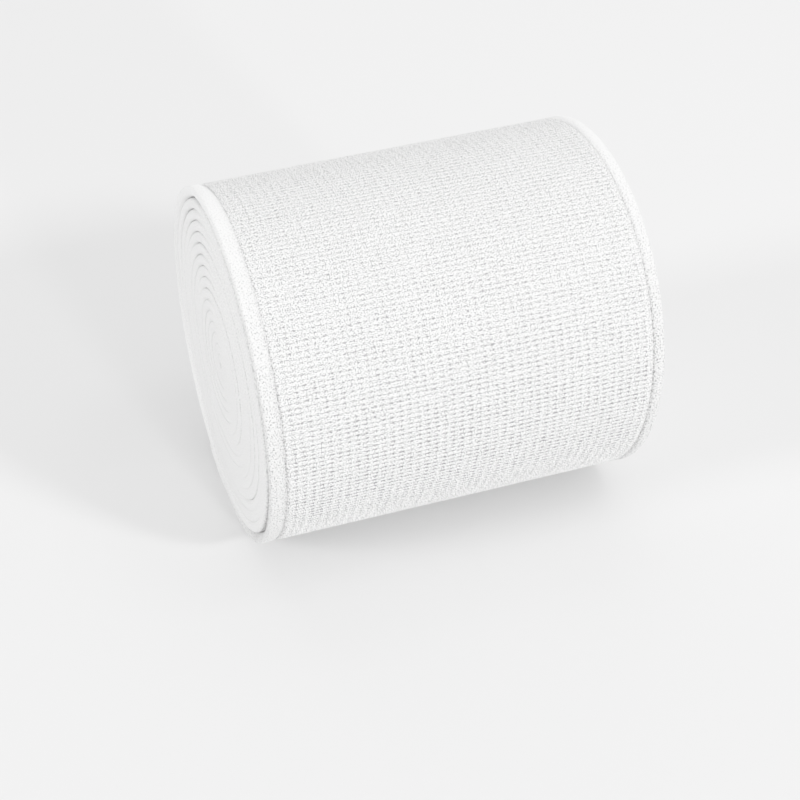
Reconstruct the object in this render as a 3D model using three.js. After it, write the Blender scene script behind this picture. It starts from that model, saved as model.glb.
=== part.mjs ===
// A roll of wide white elastic, lying on its side.
//
// One long band is wound on itself with no core. Both of its edges are thick round beads,
// each set off from the woven body by a narrow groove. The turns show at the two round ends
// as one spiral, and the outer end lies flat against the roll behind its foot.
//
// Millimetres, +Z up. The roll's axis runs along X and the front of the roll faces -Y.
// The origin is under the middle of the roll, on the surface that it rests on.

import * as THREE from 'three';

// The band
const bandWidth = 50;
const bandThickness = 1.41;
const leftBeadWidth = 2.3;
const rightBeadWidth = 1.6;
const beadCrown = 0.06;
const grooveHalfWidth = 0.35;
const grooveDepth = 0.42;

// The roll
const rollRadius = 23.3;
const reliefTurns = 13;
const freeEndAngle = 26.25;
const stepAngle = 7.5;
const flatHalfAngle = 11.25;

// The roll is wound a little looser towards its right end. This is how much thicker it is
// there than at its middle, as a share. Its left end is thinner by as much.
const looserRightShare = 0.01;

// The round ends
const crownSetBack = 0.1;
const turnGap = 0.55;
const eyeScale = 0.42;
const eyeRimSetBack = 0.35;
const eyeDepth = 1.6;

// How far each turn is wound off to the right of the roll's middle, from the outside in
const windingDrift = [
  { turn: 0, shift: -0.15 },
  { turn: 0.6, shift: -0.2 },
  { turn: 1.2, shift: -0.1 },
  { turn: 2.2, shift: 0.15 },
  { turn: 4, shift: 0.2 },
  { turn: 6, shift: 0.05 },
  { turn: 8, shift: 0.15 },
  { turn: 10, shift: -0.05 },
  { turn: 12, shift: 0.1 },
  { turn: 14, shift: 0.25 },
];

// The round edge of one turn, seen at a round end. inward is the share of the band's
// thickness from its outer face, and setBack is how far the point lies behind the end.
const turnEdge = [
  { inward: 0, setBack: turnGap },
  { inward: 0.3, setBack: crownSetBack },
  { inward: 0.7, setBack: crownSetBack },
];

// The band's outer face from edge to edge. across is the way from the left edge, and
// depth is how far the point lies below the woven face.
const outerFace = [
  { across: leftBeadWidth / 2, depth: -beadCrown },
  { across: leftBeadWidth - grooveHalfWidth, depth: 0 },
  { across: leftBeadWidth, depth: grooveDepth },
  { across: leftBeadWidth + grooveHalfWidth, depth: 0 },
  { across: bandWidth / 2, depth: 0 },
  { across: bandWidth - rightBeadWidth - grooveHalfWidth, depth: 0 },
  { across: bandWidth - rightBeadWidth, depth: grooveDepth },
  { across: bandWidth - rightBeadWidth + grooveHalfWidth, depth: 0 },
  { across: bandWidth - rightBeadWidth / 2, depth: -beadCrown },
];

const stepsPerTurn = 360 / stepAngle;
const lastStep = stepsPerTurn * reliefTurns;
const rimLevel = turnEdge.length;
const axisHeight = spiralRadius(freeEndAngle / stepAngle)
  * Math.cos(THREE.MathUtils.degToRad(flatHalfAngle));

// Radius of the band's outer face at a step of the winding, counted from its outer end
function spiralRadius(step) {
  return rollRadius - bandThickness * step / stepsPerTurn;
}

// Angle from straight down, positive towards the back
function angleAt(step) {
  return freeEndAngle - stepAngle * step;
}

function driftAt(step) {
  const turn = step / stepsPerTurn;
  const next = windingDrift.findIndex((row) => row.turn > turn);
  if (next < 1) {
    return windingDrift[next < 0 ? windingDrift.length - 1 : 0].shift;
  }
  const from = windingDrift[next - 1];
  const to = windingDrift[next];
  const share = (turn - from.turn) / (to.turn - from.turn);
  return THREE.MathUtils.lerp(from.shift, to.shift, THREE.MathUtils.smoothstep(share, 0, 1));
}

// A closed surface that is put together from patches sharing their corner points
class Surface {
  constructor() {
    this.points = [];
    this.triangles = [];
  }

  point(x, y, z) {
    this.points.push(x, y, z);
    return this.points.length / 3 - 1;
  }

  triangle(a, b, c, reversed) {
    if (reversed) {
      this.triangles.push(a, c, b);
    } else {
      this.triangles.push(a, b, c);
    }
  }

  quad(a, b, c, d, reversed) {
    this.triangle(a, b, c, reversed);
    this.triangle(a, c, d, reversed);
  }

  // The looser winding swells the roll about the line that it rests on
  swell() {
    for (let at = 0; at < this.points.length; at += 3) {
      const growth = 1 + looserRightShare * this.points[at] / (bandWidth / 2);
      this.points[at + 1] *= growth;
      this.points[at + 2] *= growth;
    }
  }

  geometry() {
    const geometry = new THREE.BufferGeometry();
    geometry.setAttribute('position', new THREE.Float32BufferAttribute(this.points, 3));
    geometry.setIndex(this.triangles);
    return geometry;
  }
}

// A point at a step of the winding, some depth below the band's outer face there
function windingPoint(surface, step, x, depth) {
  const angle = THREE.MathUtils.degToRad(angleAt(step));
  const radius = spiralRadius(step) - depth;
  const y = radius * Math.sin(angle);
  const z = axisHeight - radius * Math.cos(angle);
  return surface.point(x, y, z);
}

// As above, on the outermost turn, which is pressed flat where the roll rests
function outerPoint(surface, step, x, depth) {
  const rests = Math.abs(angleAt(step)) <= flatHalfAngle;
  const index = windingPoint(surface, step, x, depth);
  if (rests) {
    surface.points[3 * index + 2] = Math.max(0, depth);
  }
  return index;
}

// The corner points of one round end. side is -1 for the left end and 1 for the right.
function roundEndPoints(surface, side) {
  const rows = [];
  for (let step = 0; step <= lastStep; step += 1) {
    const end = driftAt(step) + side * bandWidth / 2;
    const row = turnEdge.map((corner, level) => {
      const x = end - side * corner.setBack;
      const place = level === 0 && step <= stepsPerTurn ? outerPoint : windingPoint;
      return place(surface, step, x, corner.inward * bandThickness);
    });
    rows.push(row);
  }
  for (let step = 0; step <= lastStep; step += 1) {
    const sharedStep = step + stepsPerTurn;
    if (sharedStep <= lastStep) {
      rows[step].push(rows[sharedStep][0]);
    } else {
      const x = driftAt(step) + side * (bandWidth / 2 - turnGap);
      rows[step].push(windingPoint(surface, step, x, bandThickness));
    }
  }
  return rows;
}

function addRoundEnd(surface, rows, side) {
  const reversed = side > 0;
  for (let step = 0; step < lastStep; step += 1) {
    for (let level = 0; level < rimLevel; level += 1) {
      const here = rows[step];
      const next = rows[step + 1];
      surface.quad(here[level], next[level], next[level + 1], here[level + 1], reversed);
    }
  }
  addEye(surface, rows, side);
}

// The tightly wound middle of a round end, closed down to a small blind eye
function addEye(surface, rows, side) {
  const reversed = side > 0;
  const rim = [];
  for (let step = lastStep - stepsPerTurn; step <= lastStep; step += 1) {
    rim.push(rows[step][rimLevel]);
  }
  for (let level = rimLevel - 1; level > 0; level -= 1) {
    rim.push(rows[lastStep][level]);
  }
  const end = driftAt(lastStep) + side * bandWidth / 2;
  const ring = rim.map((index) => {
    const y = surface.points[3 * index + 1] * eyeScale;
    const z = axisHeight + (surface.points[3 * index + 2] - axisHeight) * eyeScale;
    return surface.point(end - side * eyeRimSetBack, y, z);
  });
  const middle = surface.point(end - side * eyeDepth, 0, axisHeight);
  rim.forEach((index, place) => {
    const next = (place + 1) % rim.length;
    surface.quad(index, rim[next], ring[next], ring[place], reversed);
    surface.triangle(ring[place], ring[next], middle, reversed);
  });
}

// The outermost turn's face, from the left rim to the right one
function outerFacePoints(surface, leftRows, rightRows) {
  const rows = [];
  for (let step = 0; step <= stepsPerTurn; step += 1) {
    const leftEdge = driftAt(step) - bandWidth / 2;
    const between = outerFace.map(
      (place) => outerPoint(surface, step, leftEdge + place.across, place.depth),
    );
    rows.push([leftRows[step][0], ...between, rightRows[step][0]]);
  }
  return rows;
}

function addOuterFace(surface, rows) {
  for (let step = 0; step < stepsPerTurn; step += 1) {
    for (let column = 0; column < rows[step].length - 1; column += 1) {
      const here = rows[step];
      const next = rows[step + 1];
      surface.quad(here[column], here[column + 1], next[column + 1], next[column], false);
    }
  }
}

// The cut outer end of the band, which stands on the turn below it
function addCutEnd(surface, faceRows, leftRows, rightRows) {
  const top = faceRows[0];
  const foot = faceRows[stepsPerTurn];
  const levels = [top];
  for (let level = 1; level < rimLevel; level += 1) {
    const between = top.slice(1, -1).map((index, place) => {
      const a = new THREE.Vector3().fromArray(surface.points, 3 * index);
      const b = new THREE.Vector3().fromArray(surface.points, 3 * foot[place + 1]);
      a.lerp(b, turnEdge[level].inward);
      return surface.point(a.x, a.y, a.z);
    });
    levels.push([leftRows[0][level], ...between, rightRows[0][level]]);
  }
  levels.push(foot);
  for (let level = 0; level < rimLevel; level += 1) {
    const here = levels[level];
    const below = levels[level + 1];
    for (let column = 0; column < here.length - 1; column += 1) {
      surface.quad(here[column], below[column], below[column + 1], here[column + 1], false);
    }
  }
}

function buildRoll() {
  const surface = new Surface();
  const leftRows = roundEndPoints(surface, -1);
  const rightRows = roundEndPoints(surface, 1);
  const faceRows = outerFacePoints(surface, leftRows, rightRows);
  addRoundEnd(surface, leftRows, -1);
  addRoundEnd(surface, rightRows, 1);
  addOuterFace(surface, faceRows);
  addCutEnd(surface, faceRows, leftRows, rightRows);
  surface.swell();
  const geometry = surface.geometry();
  geometry.computeVertexNormals();
  return geometry;
}

const whiteElastic = new THREE.MeshStandardMaterial({
  color: '#f4f4f2',
  roughness: 0.9,
  metalness: 0,
});

const roll = new THREE.Mesh(buildRoll(), whiteElastic);
roll.name = 'elastic_roll';
roll.geometry.computeBoundingBox();
const middle = roll.geometry.boundingBox.getCenter(new THREE.Vector3());
roll.position.set(-middle.x, -middle.y, 0);

const part = new THREE.Group();
part.name = 'roll_of_elastic';
part.add(roll);

export default part;
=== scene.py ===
# A roll of wide white elastic, lying on its side, seen a little from its left end.
# Metres, +Z up. The roll's axis runs along X and the front of the roll faces -Y.

import bpy
import numpy as np
from mathutils import Matrix, Vector


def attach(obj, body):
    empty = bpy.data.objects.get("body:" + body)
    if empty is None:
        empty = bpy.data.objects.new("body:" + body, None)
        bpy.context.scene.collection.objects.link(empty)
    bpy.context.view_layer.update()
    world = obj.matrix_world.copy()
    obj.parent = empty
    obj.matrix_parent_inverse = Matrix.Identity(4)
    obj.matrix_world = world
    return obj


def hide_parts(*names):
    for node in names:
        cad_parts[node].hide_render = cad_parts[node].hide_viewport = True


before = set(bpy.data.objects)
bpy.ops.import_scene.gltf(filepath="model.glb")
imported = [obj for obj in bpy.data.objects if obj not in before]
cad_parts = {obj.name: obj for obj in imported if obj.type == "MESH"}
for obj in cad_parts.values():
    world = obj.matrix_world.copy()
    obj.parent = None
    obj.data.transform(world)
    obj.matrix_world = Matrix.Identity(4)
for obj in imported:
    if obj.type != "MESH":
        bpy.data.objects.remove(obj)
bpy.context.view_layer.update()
mm = 0.001


# The band and how it is wound, as in the frame
band = {
    "width": 50 * mm,
    "thickness": 1.41 * mm,
    "leftBead": 2.3 * mm,        # width of the round edge, to the middle of its groove
    "rightBead": 1.6 * mm,
    "beadCrown": 0.06 * mm,      # how far a bead stands over the woven face
    "grooveHalf": 0.35 * mm,     # half the width of a groove
}
winding = {
    "radius": 23.3 * mm,
    "freeEnd": 26.25,            # degrees from straight down to the outer end, to the back
    "flatHalf": 11.25,           # degrees to each side over which the roll is pressed flat
    "footTurns": 5,              # turns that give way above the flat foot
    "looserRight": 0.01,         # share by which the right end is thicker than the middle
    "turns": 16.1,
    # how far a turn is wound off to the right, in mm, counting turns from the outer end
    "driftTurns": [0, 0.6, 1.2, 2.2, 4, 6, 8, 10, 12, 14],
    "drift": [-0.15, -0.2, -0.1, 0.15, 0.2, 0.05, 0.15, -0.05, 0.1, 0.25],
}


def spiralRadius(turn):
    return winding["radius"] - band["thickness"] * turn


# Angle from straight down, positive towards the back
def angleAt(turn):
    return np.radians(winding["freeEnd"] - 360 * turn)


# From 1 at a place round the roll, in degrees as above, down to 0 opposite it
def nearness(turn, degrees):
    return 0.5 + 0.5 * np.cos(angleAt(turn) - np.radians(degrees))


def smooth(share):
    return share * share * (3 - 2 * share)


axisHeight = spiralRadius(winding["freeEnd"] / 360) * np.cos(np.radians(winding["flatHalf"]))
frontRadius = spiralRadius((winding["freeEnd"] + 90) / 360)
backRadius = spiralRadius((winding["freeEnd"] + 270) / 360)
axisShift = (frontRadius - backRadius) / 2 * (1 + winding["looserRight"])
outerLength = 2 * np.pi * (winding["radius"] - band["thickness"] / 2)


def driftAt(turn):
    turns, drift = winding["driftTurns"], winding["drift"]
    place = np.clip(np.searchsorted(turns, turn, side="right") - 1, 0, len(turns) - 2)
    start, stop = np.take(turns, place), np.take(turns, place + 1)
    share = smooth(np.clip((turn - start) / (stop - start), 0, 1))
    return mm * (np.take(drift, place) * (1 - share) + np.take(drift, place + 1) * share)


# Points at some turn of the winding, across from the left edge and below the outer face
def bandPoints(turn, across, depth):
    turn, across, depth = np.broadcast_arrays(turn, across, depth)
    angle = angleAt(turn)
    radius = spiralRadius(turn) - depth
    outerFloor = axisHeight - spiralRadius(turn % 1) * np.cos(angle)
    lift = np.maximum(0, -outerFloor) * np.clip(1 - turn / winding["footTurns"], 0, 1)
    x = driftAt(turn) - band["width"] / 2 + across
    growth = 1 + winding["looserRight"] * x / (band["width"] / 2)
    y = radius * np.sin(angle) * growth
    z = (axisHeight - radius * np.cos(angle) + lift) * growth
    return np.stack([x, y + axisShift, np.maximum(z, 0)], axis=-1)


# Camera at the photo's angle
view = {
    "azimuth": -19.92,           # degrees from the front of the roll, negative to its left end
    "elevation": 37.02,
    "distance": 202.66 * mm,
    "lens": 71.08,               # mm
    "sensor": 36,                # mm
    "nearest": 10 * mm,          # what is closer isn't drawn
    "right": -0.953 * mm,        # the aim, from the middle of the roll's axis
    "up": -9.724 * mm,
}


def makeCamera():
    azimuth, elevation = np.radians(view["azimuth"]), np.radians(view["elevation"])
    back = Vector((np.sin(azimuth) * np.cos(elevation),
                   -np.cos(azimuth) * np.cos(elevation),
                   np.sin(elevation)))
    right = Vector((np.cos(azimuth), np.sin(azimuth), 0))
    up = back.cross(right)
    aim = Vector((0, axisShift, axisHeight)) + right * view["right"] + up * view["up"]
    place = aim + back * view["distance"]
    data = bpy.data.cameras.new("camera")
    data.lens = view["lens"]
    data.sensor_width = view["sensor"]
    data.clip_start = view["nearest"]
    camera = bpy.data.objects.new("camera", data)
    bpy.context.collection.objects.link(camera)
    camera.matrix_world = Matrix((
        (right.x, up.x, back.x, place.x),
        (right.y, up.y, back.y, place.y),
        (right.z, up.z, back.z, place.z),
        (0, 0, 0, 1),
    ))
    bpy.context.scene.camera = camera


makeCamera()
print("camera is placed")


# Shader maths written as expressions. An expression on sockets adds the nodes it needs.
class Socket:
    def __init__(self, maker, output):
        self.maker, self.output = maker, output

    def math(self, operation, first, second):
        return self.maker.node("ShaderNodeMath", {"operation": operation}, {0: first, 1: second})

    def __add__(self, other):
        return self.math("ADD", self, other)

    def __radd__(self, other):
        return self.math("ADD", other, self)

    def __sub__(self, other):
        return self.math("SUBTRACT", self, other)

    def __rsub__(self, other):
        return self.math("SUBTRACT", other, self)

    def __mul__(self, other):
        return self.math("MULTIPLY", self, other)

    def __rmul__(self, other):
        return self.math("MULTIPLY", other, self)

    def __truediv__(self, other):
        return self.math("DIVIDE", self, other)

    def __rtruediv__(self, other):
        return self.math("DIVIDE", other, self)

    def __pow__(self, other):
        return self.math("POWER", self, other)

    def __rpow__(self, other):
        return self.math("POWER", other, self)

    def __neg__(self):
        return self.math("MULTIPLY", self, -1.0)


class Maker:
    def __init__(self, name):
        self.material = bpy.data.materials.new(name)
        self.material.use_nodes = True
        self.tree = self.material.node_tree
        self.tree.nodes.clear()

    # Any node, from its type, its settings, and the values or links of its sockets
    def node(self, kind, settings, inputs, output=0):
        made = self.tree.nodes.new(kind)
        for name, value in settings.items():
            setattr(made, name, value)
        for name, value in inputs.items():
            socket = made.inputs[name]
            if isinstance(value, Socket):
                self.tree.links.new(value.output, socket)
            else:
                socket.default_value = value
        return Socket(self, made.outputs[output]) if made.outputs else None

    def function(self, operation, value):
        return self.node("ShaderNodeMath", {"operation": operation}, {0: value})

    def cosine(self, turns):
        return self.function("COSINE", turns * (2 * np.pi))

    def fromNearest(self, value):
        return value - self.function("ROUND", value)

    def bell(self, along, across, reach):
        along, across = along / reach[0], across / reach[1]
        return self.function("EXPONENT", -(along * along + across * across))

    def clamp(self, value):
        return self.node("ShaderNodeClamp", {}, {"Value": value})

    # The three values that a piece keeps at its points
    def attribute(self, name):
        read = self.node("ShaderNodeAttribute", {"attribute_name": name}, {}, output="Vector")
        parts = self.node("ShaderNodeSeparateXYZ", {}, {"Vector": read})
        return [Socket(self, output) for output in parts.output.node.outputs]

    def point(self, x, y):
        return self.node("ShaderNodeCombineXYZ", {}, {"X": x, "Y": y})

    # Fine noise to both sides of 0
    def noise(self, place, scale):
        return self.node("ShaderNodeTexNoise", {"noise_dimensions": "3D"},
                         {"Vector": place, "Scale": scale, "Detail": 1.0}) - 0.5

    # The Mix node's colours are its inputs 6 and 7 and its output 2
    def mixColour(self, share, first, second):
        return self.node("ShaderNodeMix", {"data_type": "RGBA"},
                         {0: share, 6: first, 7: second}, output=2)

    def finish(self, shader):
        self.node("ShaderNodeOutputMaterial", {}, {"Surface": shader})
        return self.material


# The yarn, and how a piece is made of it
yarn = {
    "light": (0.965, 0.965, 0.96, 1),
    "dark": (0.26, 0.26, 0.265, 1),
    "sheenRoughness": 0.5,
}


# Greyer where shade is high, which holds the yarn's own grey and texture and the painted shade of
# hollows and creases; raised where height is, and finished as the piece's values say
def finishYarn(make, values, shade, height):
    colour = make.mixColour(make.clamp(shade), yarn["light"], yarn["dark"])
    bump = make.node("ShaderNodeBump", {}, {
        "Strength": values["bump"], "Distance": values["bumpHeight"], "Height": height})
    shader = make.node("ShaderNodeBsdfPrincipled", {}, {
        "Base Color": colour, "Roughness": values["roughness"],
        "Sheen Weight": values["sheen"], "Sheen Roughness": yarn["sheenRoughness"],
        "Specular IOR Level": values["specular"], "Normal": bump})
    return make.finish(shader)


# Four-cornered faces over a grid of point numbers, rows by columns
def gridFaces(index):
    corners = [index[:-1, :-1], index[:-1, 1:], index[1:, 1:], index[1:, :-1]]
    return np.stack(corners, axis=-1).reshape(-1, 4).tolist()


def makePiece(name, points, faces, places, material):
    mesh = bpy.data.meshes.new(name)
    mesh.from_pydata(points.tolist(), [], faces)
    mesh.attributes.new("bandPlace", "FLOAT_VECTOR", "POINT")
    mesh.attributes["bandPlace"].data.foreach_set("vector", places.astype(np.float32).ravel())
    mesh.shade_smooth()
    mesh.materials.append(material)
    piece = bpy.data.objects.new(name, mesh)
    bpy.context.collection.objects.link(piece)
    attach(piece, "root")
    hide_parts("elastic_roll")
    return piece


# The outermost turn's woven face, with its weave as relief, on a thin closed body.
# The weave lies in rows round the roll and columns along it.
weave = {
    "rowsRound": 229,
    "tuckRows": 6,               # rows that go on under the outer end
    "columns": 127 / 3,
    "samples": 3,                # relief steps to a row and to a column
    "ridge": 0.05 * mm,          # half the height of a row over the valley beside it
    "narrowness": 1.8,           # of the valleys
    "mainPitDepth": 0.09 * mm,   # extra depth of the main pit in each column
    "sidePitDepth": 0.05 * mm,
    "mainPitReach": (0.17, 0.20),            # along and across a row, in columns and rows
    "sidePitReach": (0.13, 0.18),
    "sideShift": 1 / 3,          # the side pit lies this far to the left, in columns
    "uneven": 0.05,              # how far pits stray, in rows and columns
    "unevenPits": 0.2,           # how much they differ in strength
    "strengths": (0.2, 2),       # the weakest and the strongest
    "weakPitAngle": 205,           # place round the roll where the pits are weakest, near its top
    "weakPitShare": 0.62,          # and how much weaker the pits are there, in relief and in painted shade, which paints the top lighter
    "spareCells": (3, 4),        # of random values, past the last row and column
    "seed": 11,
    "edgeSteps": [0, 0.14 * mm, 0.3 * mm],   # from a groove's middle to the first column
    "edgeDepths": [0.26 * mm, 0.14 * mm, 0.04 * mm],
    "edgePits": 0.6,             # how much weaker the pits are beside a groove
    "edgeReach": 0.4,            # and how far from it, in columns
    "under": 0.55 * mm,          # depth of the plain underside
    # its finish
    "ground": 0.06,              # how grey the yarn is all over
    "valleyShade": 0.5,          # how much painted shade each hollow gets
    "mainPitShade": 1.7,
    "sidePitShade": 0.75,
    "fibre": 6.8,                # contrast of the fine yarn texture
    "fibreScale": 7.0,           # to a millimetre
    "fibreHeight": 0.8,          # how much the fine texture and the hollows show as bumps
    "hollowHeight": 0.6,
    "bump": 0.9,
    "bumpHeight": 0.16 * mm,
    "roughness": 0.85,
    "sheen": 0.35,
    "specular": 0.3,
}
faceLeft = band["leftBead"]
faceRight = band["width"] - band["rightBead"]
columnPitch = (faceRight - faceLeft - 2 * band["grooveHalf"]) / weave["columns"]
rowPitch = outerLength / weave["rowsRound"]


def bell(along, across, reach):
    return np.exp(-(along / reach[0]) ** 2 - (across / reach[1]) ** 2)


def fromNearest(value):
    return value - np.round(value)


def weaveDepth(row, column, strength):
    sideColumn = fromNearest(column + weave["sideShift"])
    main = bell(fromNearest(column), fromNearest(row), weave["mainPitReach"])
    side = bell(sideColumn, fromNearest(row), weave["sidePitReach"])
    valley = (0.5 + 0.5 * np.cos(2 * np.pi * row)) ** weave["narrowness"]
    pits = weave["mainPitDepth"] * main + weave["sidePitDepth"] * side
    return (weave["ridge"] * 2 * valley + pits) * strength


# Random values at each cell of the weave, blended smoothly between cells
def unevenField(random, row, column):
    spareRows, spareColumns = weave["spareCells"]
    cells = (int(row.max()) + spareRows, int(column.max()) + spareColumns)
    values = random.standard_normal(cells)
    rowCell, columnCell = np.floor(row).astype(int), np.floor(column).astype(int) + 1
    rowShare, columnShare = smooth(row - np.floor(row)), smooth(column - np.floor(column))

    def blendedAlong(cell):
        left, right = values[cell, columnCell], values[cell, columnCell + 1]
        return left * (1 - columnShare) + right * columnShare

    return blendedAlong(rowCell) * (1 - rowShare) + blendedAlong(rowCell + 1) * rowShare


# How strong each pit is, in relief and in painted shade. Pits are weaker near the top, which
# paints the top of the roll lighter.
def weaveStrength(random, row, column):
    strength = 1 + weave["unevenPits"] * unevenField(random, row, column)
    strength = np.clip(strength, *weave["strengths"])
    weakPitNearness = nearness(row / weave["rowsRound"], weave["weakPitAngle"])
    fromEdge = np.minimum(column, column[:, -1:] - column)
    strength *= 1 - weave["weakPitShare"] * weakPitNearness ** 2
    strength *= 1 - weave["edgePits"] * np.exp(-fromEdge / weave["edgeReach"])
    return strength


# The relief's rows, and its places across with how deep they lie in a groove
def faceLines():
    samples = weave["samples"]
    rows = np.arange(0, (weave["rowsRound"] + weave["tuckRows"]) * samples + 1) / samples
    steps = np.array(weave["edgeSteps"])
    inner = np.arange(0, round(weave["columns"] * samples) + 1) / samples * columnPitch
    across = np.concatenate([faceLeft + steps, faceLeft + band["grooveHalf"] + inner,
                             faceRight - steps[::-1]])
    grooves = np.zeros(len(across))
    grooves[:len(steps)] = weave["edgeDepths"]
    grooves[-len(steps):] = weave["edgeDepths"][::-1]
    return rows, across, grooves


# bandPlace holds the row, the column and the weave's strength
def makeWovenMaterial():
    make = Maker("wovenElastic")
    row, column, strength = make.attribute("bandPlace")
    acrossRow = make.fromNearest(row)
    sideColumn = make.fromNearest(column + weave["sideShift"])
    main = make.bell(make.fromNearest(column), acrossRow, weave["mainPitReach"])
    side = make.bell(sideColumn, acrossRow, weave["sidePitReach"])
    valley = (0.5 + 0.5 * make.cosine(row)) ** weave["narrowness"]
    # painted shade in the valleys and pits, which also sinks the bump
    hollow = (valley * weave["valleyShade"]
              + main * weave["mainPitShade"] + side * weave["sidePitShade"]) * strength
    place = make.point(row * rowPitch / mm, column * columnPitch / mm)
    fibre = make.noise(place, weave["fibreScale"])
    shade = weave["ground"] + hollow - fibre * weave["fibre"]
    height = fibre * weave["fibreHeight"] - hollow * weave["hollowHeight"]
    return finishYarn(make, weave, shade, height)


def buildWovenFace():
    rows, across, grooves = faceLines()
    row, column = np.meshgrid(rows, (across - faceLeft) / columnPitch, indexing="ij")
    random = np.random.default_rng(weave["seed"])
    strayRow = row + weave["uneven"] * unevenField(random, row, column)
    strayColumn = column + weave["uneven"] * unevenField(random, row, column)
    strength = weaveStrength(random, row, column)
    depth = grooves + weaveDepth(strayRow, strayColumn, strength)
    top = bandPoints(row / weave["rowsRound"], across[None, :], depth)
    lowTurn = rows[:, None] / weave["rowsRound"]
    low = bandPoints(lowTurn, np.array([[faceLeft, faceRight]]), weave["under"])
    points = np.concatenate([top.reshape(-1, 3), low.reshape(-1, 3)])
    places = np.zeros_like(points)
    places[:row.size] = np.stack([strayRow, strayColumn, strength], axis=-1).reshape(-1, 3)
    places[row.size:, 0] = np.repeat(rows, 2)

    topIndex = np.arange(row.size).reshape(row.shape)
    lowIndex = row.size + np.arange(2 * len(rows)).reshape(-1, 2)
    leftSide = [lowIndex[:, 0], topIndex[:, 0]]
    rightSide = [topIndex[:, -1], lowIndex[:, 1]]
    underside = [lowIndex[:, 1], lowIndex[:, 0]]
    faces = gridFaces(topIndex)
    for side in leftSide, rightSide, underside:
        faces += gridFaces(np.stack(side, axis=1))
    faces.append(lowIndex[0].tolist() + topIndex[0, ::-1].tolist())
    faces.append(lowIndex[-1, ::-1].tolist() + topIndex[-1].tolist())
    return makePiece("wovenFace", points, faces, places, makeWovenMaterial())


woven = buildWovenFace()
print("woven face has", len(woven.data.polygons), "faces")


# The round edges of the band through all its turns, with the body that joins them
bead = {
    "stepsPerTurn": 96,
    "grooveSide": [0.34, 0.52, 0.76, 1.0],   # shares of a quarter turn over the side by the groove
    "squareness": 2.3,           # of that side, where 2 is round
    # shares of a quarter turn over the end, from its outer corner to its inner one
    "endSide": [1, 0.78, 0.56, 0.36, 0.18, 0, -0.18, -0.36, -0.56, -0.78, -1],
    "endSquareness": 2.0,
    "grooveDepth": 0.28 * mm,
    "endRound": 0.02 * mm,       # how far an end's corners are rounded where the turns are tight
    "endRoundLoose": 0.6 * mm,   # and where they are loose
    "gapLoose": 0.08 * mm,       # between two turns where they are loose
    "looseAngle": 168,           # place round the roll where they are loosest
    "looseNarrowness": 2.6,
    "looseTurns": [0, 1, 4, 9, 13],
    "looseShares": [1, 1, 0.85, 0.5, 0.2],
    "looseUneven": 0.25,         # how much one stretch differs from the next
    "stretches": 8,              # to a turn
    "spareStretches": 10,
    "seed": 5,
    "outerEnd": 1.02,            # the outermost turn ends here, counted in turns
    "outerBlend": 0.04,          # and changes to the next over this share of a turn
    "outerRound": 0.4 * mm,      # its outer corner is rounded by this
    "outerUndercut": 0.6 * mm,   # its end slopes back by this to its inner corner
    "undercutFrom": 0.3,         # from this share of the way up from the middle
    "outerGap": 0.04 * mm,       # and it stands a little off the turn below it
    "nextRound": 0.35 * mm,      # how far the edge of that turn is rounded
    "nextCrease": 0.9,
    "insetTurns": [0, 0.12, 0.5, 0.62, 0.8],
    "inset": [0.1, 0.16, 0.16, 0.1, 0],      # mm, how far the outermost left end is drawn in
    "stepTurns": [3.06, 3.12, 3.36, 3.46],   # where one turn stands off the next in front
    "stepShares": [0, 1, 1, 0],
    "stepRound": 0.35 * mm,
    "coveredFrom": 1.03,         # the body has another turn over it from here, in turns
    "coveredDepth": 0.02 * mm,   # and lies this deep there
    "bodyDepth": 0.5 * mm,       # and this deep under the woven face
    "underGroove": 0.2 * mm,
    "eyeRadius": 0.1 * mm,
    # its finish
    "ground": 0.13,              # how grey the yarn is on the inner turns, which show at the roll's ends: its own grey with painted shade
    "outerGround": 0.02,         # the outermost turn is the least grey, without that painted shade
    "fibre": 5.0,                # contrast of the fine yarn texture there
    "fibreScale": 5.0,           # to a millimetre
    "wrap": 0.12,                # contrast of the wrapping threads there
    "wrapPitch": 0.42,           # mm along the band from one of them to the next
    "wrapSlant": 0.5,
    "inner": 0.25,               # share of both contrasts on the other turns
    "outerFade": 4.0,            # mm over which the outermost turn's yarn changes to theirs
    "clearTurn": 0.28,           # where on the outermost turn both are clearest
    "clearNarrowness": 2,
    "faint": 0.15,               # share of both opposite to that
    "farPaintedShade": 0.2,            # how much painted shade greys the yarn there, at the back of the roll
    "farNarrowness": 6,
    "crease": 0.5,               # how much painted shade the gaps between turns and the grooves get
    "creaseNarrowness": 4,       # of the painted dark line at a gap
    "grooveCrease": [1, 1, 0.8, 0.45, 0.1, 0],   # share of that in a groove, from its floor up
    "grooveAngle": -60,          # place round the roll where the grooves get the most painted shade
    "grooveLeast": 0.25,         # share of that opposite to it
    "speckle": 2.4,              # how unevenly that painted shade falls
    "speckleScale": 2.8,         # to a millimetre
    "bump": 0.8,
    "bumpHeight": 0.12 * mm,
    "roughness": 0.75,
    "sheen": 0.6,
    "specular": 0.35,
}


# How loose the turns lie on each other, from 0 to 1. They are pressed tight below and in front.
def looseAt(turn):
    random = np.random.default_rng(bead["seed"])
    stretches = np.arange(bead["stretches"] * int(winding["turns"]) + bead["spareStretches"])
    uneven = 1 + bead["looseUneven"] * random.uniform(-1, 1, len(stretches))
    loose = nearness(turn, bead["looseAngle"]) ** bead["looseNarrowness"]
    loose = loose * np.interp(turn, bead["looseTurns"], bead["looseShares"])
    return np.clip(loose * np.interp(turn * bead["stretches"], stretches, uneven), 0, 1)


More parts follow.
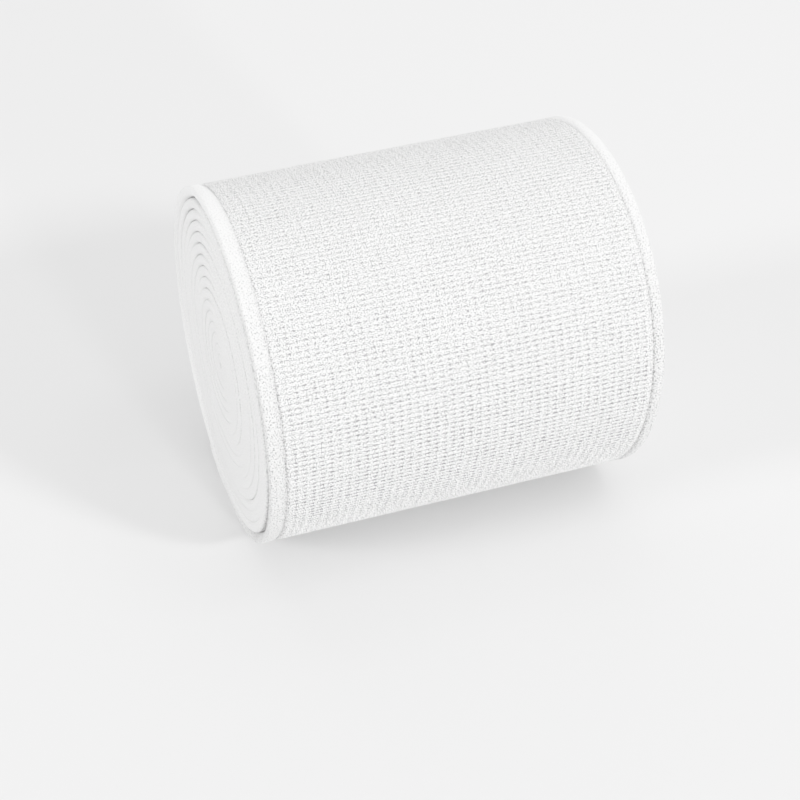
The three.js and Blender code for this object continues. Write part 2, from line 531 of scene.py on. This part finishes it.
# What sets a turn apart from the others, each from 0 to 1
def turnShares(turn):
    outermost = np.clip((bead["outerEnd"] - turn) / bead["outerBlend"], 0, 1)
    nextIn = np.clip((bead["outerEnd"] + 1 - turn) / bead["outerBlend"], 0, 1)
    return {
        "loose": looseAt(turn),
        "outermost": outermost,
        "nextIn": nextIn * (1 - outermost),
        "stepBelow": np.interp(turn, bead["stepTurns"], bead["stepShares"]),
    }


# How far a bead reaches above and below the band's middle
def beadHeights(shares):
    half = band["thickness"] / 2
    outermost, gap = shares["outermost"], bead["gapLoose"] * shares["loose"]
    above = half - gap / 2 - bead["outerGap"] / 2 * shares["nextIn"]
    above = above * (1 - outermost) + (half + band["beadCrown"]) * outermost
    below = half - gap / 2 - bead["outerGap"] / 2 * outermost
    return above, below - bead["outerGap"] * shares["stepBelow"]


# How far its end is rounded above and below the middle
def beadRounding(shares):
    outermost, loose = shares["outermost"], shares["loose"]
    above = bead["endRound"] + (bead["endRoundLoose"] - bead["endRound"]) * loose
    above = np.maximum(above, bead["nextRound"] * shares["nextIn"])
    above = above * (1 - outermost) + bead["outerRound"] * outermost
    return above, np.maximum(above, bead["stepRound"] * shares["stepBelow"])


# How far inside a crease each point of the outline lies, from 0 to 1, which sets its painted shade
def beadCreases(turn, shares):
    covered = turn > 1
    darkness = nearness(turn, bead["grooveAngle"]) ** 2
    darkness = bead["grooveLeast"] + (1 - bead["grooveLeast"]) * darkness
    groove = np.where(covered, 1, np.array(bead["grooveCrease"]) * darkness)
    height = np.array(bead["endSide"])[None, :]
    closeness = np.abs(height) ** bead["creaseNarrowness"]
    gaps = np.maximum(shares["loose"], shares["outermost"])
    end = closeness * np.maximum(gaps, shares["stepBelow"] * (height < 0))
    upperEnd = np.maximum(end, np.sqrt(closeness) * shares["nextIn"] * bead["nextCrease"])
    end = np.where(height > 0, np.where(covered, upperEnd, 0), end)
    under = np.ones((len(turn), len(bead["grooveSide"]) + 1))
    return np.concatenate([groove, end, under], axis=1)


# A bead's outline at every turn, from groove to groove: how far across from the band's edge,
# how deep and how far inside a crease each point is
def beadOutline(turn, width, insetShare):
    turn = turn[:, None]
    shares = turnShares(turn)
    outermost = shares["outermost"]
    above, below = beadHeights(shares)
    roundAbove, roundBelow = beadRounding(shares)
    half = band["thickness"] / 2
    inset = np.interp(turn, bead["insetTurns"], bead["inset"]) * mm * outermost * insetShare

    # the side by the groove
    sides = np.array(bead["grooveSide"])[None, :] * np.pi / 2
    power = 2 / bead["squareness"]
    sideAcross = (width + inset) / 2 + (width - inset) / 2 * np.cos(sides) ** power
    sideRise = np.sin(sides) ** power
    sideAbove = half - above * sideRise
    sideBelow = half + below * sideRise

    # the round end
    ends = np.array(bead["endSide"])[None, :] * np.pi / 2
    power = 2 / bead["endSquareness"]
    endRise = np.sign(ends) * np.abs(np.sin(ends)) ** power
    rounding = np.where(ends > 0, roundAbove, roundBelow)
    slopeLength = 1 + bead["undercutFrom"]
    slope = np.clip(bead["undercutFrom"] - endRise, 0, slopeLength) / slopeLength
    endAcross = inset + rounding * (1 - np.cos(ends).clip(0) ** power)
    endAcross = endAcross + bead["outerUndercut"] * outermost * slope
    endDepth = half - np.where(ends > 0, above, below) * endRise

    # the body and the groove
    wide = np.full_like(turn, width)
    bare = turn < bead["coveredFrom"]
    bodyDepth = np.where(bare, bead["bodyDepth"], bead["coveredDepth"])
    grooveDepth = np.where(outermost > 0, bead["grooveDepth"], bodyDepth)
    underDepth = np.full_like(turn, band["thickness"] - bead["underGroove"])

    across = [wide, wide, sideAcross, endAcross, sideAcross[:, ::-1], wide]
    depth = [bodyDepth, grooveDepth, sideAbove, endDepth, sideBelow[:, ::-1], underDepth]
    across, depth = np.concatenate(across, axis=1), np.concatenate(depth, axis=1)
    return across, depth, beadCreases(turn, shares)


# bandPlace holds the millimetres along and around the bead, and how far inside a crease it is, for
# its painted shade
def makeBeadMaterial():
    make = Maker("edgeYarn")
    along, around, inside = make.attribute("bandPlace")
    place = make.point(along, around)
    length = outerLength / mm
    onOuterTurn = make.clamp((length - along) / bead["outerFade"])
    clear = 0.5 + 0.5 * make.cosine(along / length - bead["clearTurn"])
    outerContrast = bead["faint"] + (1 - bead["faint"]) * clear ** bead["clearNarrowness"]
    contrast = bead["inner"] + (outerContrast - bead["inner"]) * onOuterTurn
    wraps = make.cosine((along + around * bead["wrapSlant"]) / bead["wrapPitch"])
    fibre = make.noise(place, bead["fibreScale"])
    texture = (wraps * bead["wrap"] + fibre * bead["fibre"]) * contrast
    # painted shade in the gaps between turns and in the grooves, speckled
    speckle = make.noise(place, bead["speckleScale"])
    crease = inside * (bead["crease"] + speckle * bead["speckle"])
    # painted shade at the back of the outermost turn, away from its clearest place
    outerGround = bead["outerGround"] + bead["farPaintedShade"] * (1 - clear) ** bead["farNarrowness"]
    # the inner turns at the roll's ends are painted greyer as shade
    ground = bead["ground"] + (outerGround - bead["ground"]) * onOuterTurn
    return finishYarn(make, bead, ground + crease - texture, texture)


def buildWoundBand():
    steps = bead["stepsPerTurn"]
    turn = np.arange(0, int(winding["turns"] * steps) + 1) / steps
    leftAcross, leftDepth, leftInside = beadOutline(turn, band["leftBead"], 1)
    rightAcross, rightDepth, rightInside = beadOutline(turn, band["rightBead"], 0)
    across = np.concatenate([leftAcross, band["width"] - rightAcross[:, ::-1]], axis=1)
    depth = np.concatenate([leftDepth, rightDepth[:, ::-1]], axis=1)
    inside = np.concatenate([leftInside, rightInside[:, ::-1]], axis=1)

    # the last turn thins out towards the eye
    room = (spiralRadius(turn) - bead["eyeRadius"]) / band["thickness"]
    points = bandPoints(turn[:, None], across, depth * np.minimum(1, room)[:, None])

    outlineSteps = np.hypot(np.diff(across[0]), np.diff(depth[0]))
    around = np.concatenate([[0], np.cumsum(outlineSteps)]) / mm
    lengthSteps = np.diff(turn) * 2 * np.pi * spiralRadius(turn[1:])
    along = np.concatenate([[0], np.cumsum(lengthSteps)]) / mm
    places = np.stack(np.broadcast_arrays(along[:, None], around[None, :], inside), axis=-1)

    index = np.arange(across.size).reshape(across.shape)
    ring = np.concatenate([index, index[:, :1]], axis=1)
    faces = gridFaces(ring[:, ::-1])
    faces.append(index[0].tolist())
    faces.append(index[-1][::-1].tolist())
    points, places = points.reshape(-1, 3), places.reshape(-1, 3)
    return makePiece("woundBand", points, faces, places, makeBeadMaterial())


wound = buildWoundBand()
print("wound band has", len(wound.data.polygons), "faces")


# Floor and light
studio = {
    "floorSize": 3.0,
    "paper": (0.82, 0.82, 0.82, 1),
    "paperRoughness": 0.9,
    "paperSpecular": 0.2,
    "sky": (1, 1, 1, 1),
    "skyStrength": 0.87,
    "aim": (0, 0, 0.02),
    # each light's direction from the roll, in degrees, with 0 to the right and -90 in front,
    # its distance and size in metres, and its power in watts
    "lights": {
        "frontRightLight": {"around": -56, "above": 27.5, "away": 2.5, "size": 0.3, "power": 39},
        "leftLight": {"around": 188.7, "above": 25, "away": 2.0, "size": 0.44, "power": 21},
        "lowFrontLight": {"around": -82, "above": 13, "away": 2.5, "size": 0.2, "power": 26},
        "highLight": {"around": -30, "above": 66, "away": 0.8, "size": 0.2, "power": 0.45},
        "backLight": {"around": 84, "above": 50, "away": 0.75, "size": 0.8, "power": 1.85},
        "rightLight": {"around": -15, "above": 50, "away": 0.35, "size": 0.3, "power": 0.22},
    },
    "shoulder": 1.3,             # brightness that the soft highlights level off towards
    "brightest": 3.0,            # brightness at the end of the tone curve
    "curvePoints": 13,
}


def makeFloor():
    half = studio["floorSize"] / 2
    mesh = bpy.data.meshes.new("floor")
    corners = [(-half, -half, 0), (half, -half, 0), (half, half, 0), (-half, half, 0)]
    mesh.from_pydata(corners, [], [(0, 1, 2, 3)])
    make = Maker("paper")
    shader = make.node("ShaderNodeBsdfPrincipled", {}, {
        "Base Color": studio["paper"], "Roughness": studio["paperRoughness"],
        "Specular IOR Level": studio["paperSpecular"]})
    mesh.materials.append(make.finish(shader))
    floor = bpy.data.objects.new("floor", mesh)
    bpy.context.collection.objects.link(floor)


def addAreaLight(name, around, above, away, size, power):
    data = bpy.data.lights.new(name, "AREA")
    data.shape = "SQUARE"
    data.size = size
    data.energy = power
    light = bpy.data.objects.new(name, data)
    around, above = np.radians(around), np.radians(above)
    direction = Vector((np.cos(around) * np.cos(above),
                        np.sin(around) * np.cos(above),
                        np.sin(above)))
    light.location = Vector(studio["aim"]) + direction * away
    light.rotation_euler = (-direction).to_track_quat("-Z", "Y").to_euler()
    bpy.context.collection.objects.link(light)


def makeLight():
    world = bpy.data.worlds.new("studio")
    world.use_nodes = True
    background = world.node_tree.nodes["Background"]
    background.inputs["Color"].default_value = studio["sky"]
    background.inputs["Strength"].default_value = studio["skyStrength"]
    bpy.context.scene.world = world
    for name, light in studio["lights"].items():
        addAreaLight(name, **light)


# Bright tones level off softly, as in a bright studio photo
def setTones():
    settings = bpy.context.scene.view_settings
    settings.view_transform = "Standard"
    settings.use_curve_mapping = True
    mapping = settings.curve_mapping
    mapping.white_level = [studio["brightest"]] * 3
    curve = mapping.curves[3]    # the one for all three colours together
    shares = np.linspace(0, 1, studio["curvePoints"])
    levels = 1 - np.exp(-shares * studio["brightest"] / studio["shoulder"])
    while len(curve.points) < len(shares):
        curve.points.new(0.5, 0.5)
    for point, share, level in zip(curve.points, shares, levels):
        point.location = (share, min(studio["shoulder"] * level, 1.0))
    mapping.update()


makeFloor()
makeLight()
setTones()
print("floor, lights and tones are set")
